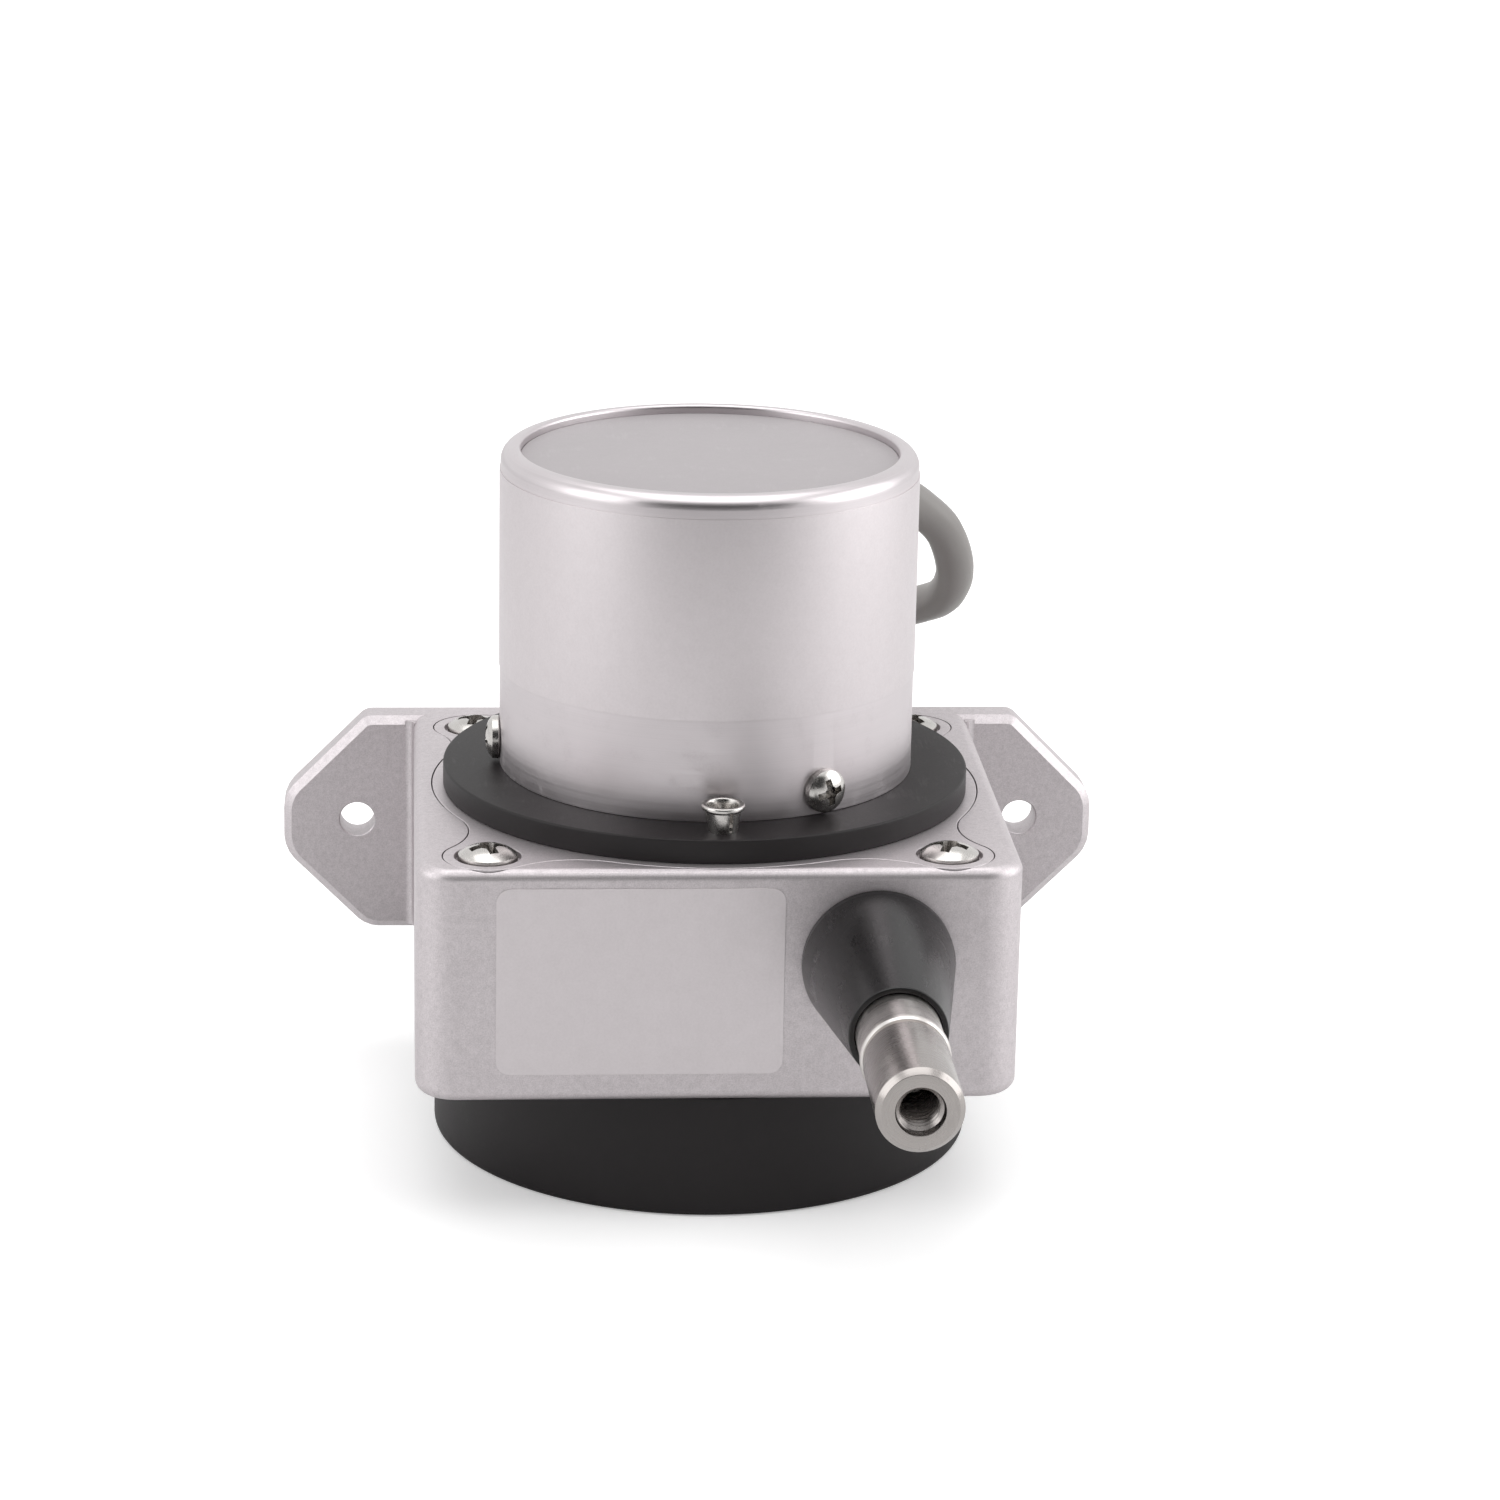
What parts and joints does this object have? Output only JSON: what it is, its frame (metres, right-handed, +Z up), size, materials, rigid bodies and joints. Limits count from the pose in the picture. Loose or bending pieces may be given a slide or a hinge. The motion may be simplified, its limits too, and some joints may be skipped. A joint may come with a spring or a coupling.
{
  "type": "draw wire displacement sensor",
  "caption": "Draw wire sensor: square cast housing with wall ears, round sensor can on a black disc, black spring cup below, rubber boot with a threaded wire end, and a grey cable.",
  "frame": {"origin": "on the drum's axis, at the flat bottom of the spring cup that the sensor stands on", "axes": "+X right seen from the wire's side, +Y towards the wall flange, +Z up along the drum's axis to the can"},
  "size_m": [0.1174, 0.207, 0.0966],
  "materials": {
    "cast_aluminium": "sand-blasted die casting",
    "satin_aluminium": "satin turned",
    "black_plastic": "matte moulded",
    "cup_plastic": "matte moulded",
    "boot_rubber": "soft satin rubber",
    "black_rubber": "matte",
    "nickel_steel": "nickel plated",
    "fitting_steel": "turned stainless steel",
    "bearing_steel": "ground",
    "spring_steel": "blued spring strip",
    "screw_black": "black oxide",
    "brass": "turned",
    "label_foil": "matte silver film, left blank",
    "grey_foil": "matte grey film, left blank",
    "cable_sheath": "satin grey PVC",
    "tie_plastic": "nylon",
    "lead_brown": "insulated lead",
    "lead_black": "insulated lead",
    "lead_shield": "twisted tinned shield",
    "wire_rope": "stainless rope",
    "blue_plastic": "moulded",
    "resistance_track": "conductive plastic on wire",
    "green_board": "solder resist",
    "board_parts": "moulded components",
    "guide_ceramic": "polished ceramic"
  },
  "bodies": {
    "case": {"housing": "cast_aluminium", "lid": "cast_aluminium", "lid_gasket": "black_rubber", "lid_screws": "nickel_steel", "front_label": "label_foil", "sensor_flange": "black_plastic", "flange_screws": "nickel_steel", "lock_screw": "nickel_steel", "sensor_can": "satin_aluminium", "can_label": "label_foil", "can_cap": "grey_foil", "can_screws": "nickel_steel", "sensor_bracket": "satin_aluminium", "bracket_screws": "nickel_steel", "pot_housing": "blue_plastic", "pot_bushing": "brass", "pot_nut": "nickel_steel", "pot_element": "resistance_track", "circuit_board": "green_board", "board_parts": "board_parts", "upper_bearing": "bearing_steel", "lower_bearing": "bearing_steel", "upper_balls": "bearing_steel", "lower_balls": "bearing_steel", "spring_cup": "cup_plastic", "cup_seal": "black_rubber", "cup_screws": "nickel_steel", "mainspring": "spring_steel", "wire_guide": "guide_ceramic", "boot": "boot_rubber", "cable_grommet": "black_rubber", "cable": "cable_sheath", "cable_coil": "cable_sheath", "cable_tie": "tie_plastic", "cable_tail": "cable_sheath", "brown_lead": "lead_brown", "black_lead": "lead_black", "shield_lead": "lead_shield"},
    "drum": {"drum_shaft": "bearing_steel", "measuring_drum": "satin_aluminium", "drum_screw": "screw_black", "wire_winding": "wire_rope", "spring_arbor": "bearing_steel", "upper_inner_ring": "bearing_steel", "lower_inner_ring": "bearing_steel", "retaining_ring": "screw_black", "shaft_coupling": "satin_aluminium", "coupling_screws": "screw_black", "pot_rotor": "bearing_steel"},
    "wire_end": {"wire": "wire_rope", "wire_ferrule": "brass", "swivel_ring": "fitting_steel"},
    "end_fitting": {"end_barrel": "fitting_steel"}
  },
  "joints": [
    {"name": "drum_spin", "type": "hinge", "parent": "case", "child": "drum", "pos_m": [0, 0, 0], "axis": [0, 0, -1], "range_deg": [0, 3598], "stiffness_Nm_per_rad": 0.0008, "springref_deg": -7161.97, "deforming": ["mainspring"]},
    {"name": "wire_pull", "type": "slide", "parent": "case", "child": "wire_end", "axis": [0, -1, 0], "range_m": [0, 1.3], "deforming": ["wire"]},
    {"name": "end_swivel", "type": "hinge", "parent": "wire_end", "child": "end_fitting", "pos_m": [0.0207, -0.08, 0.0363], "axis": [0, -1, 0], "continuous": true}
  ],
  "couplings": [
    {"joint": "wire_pull", "follows": "drum_spin", "m_per_rad": 0.0207}
  ]
}
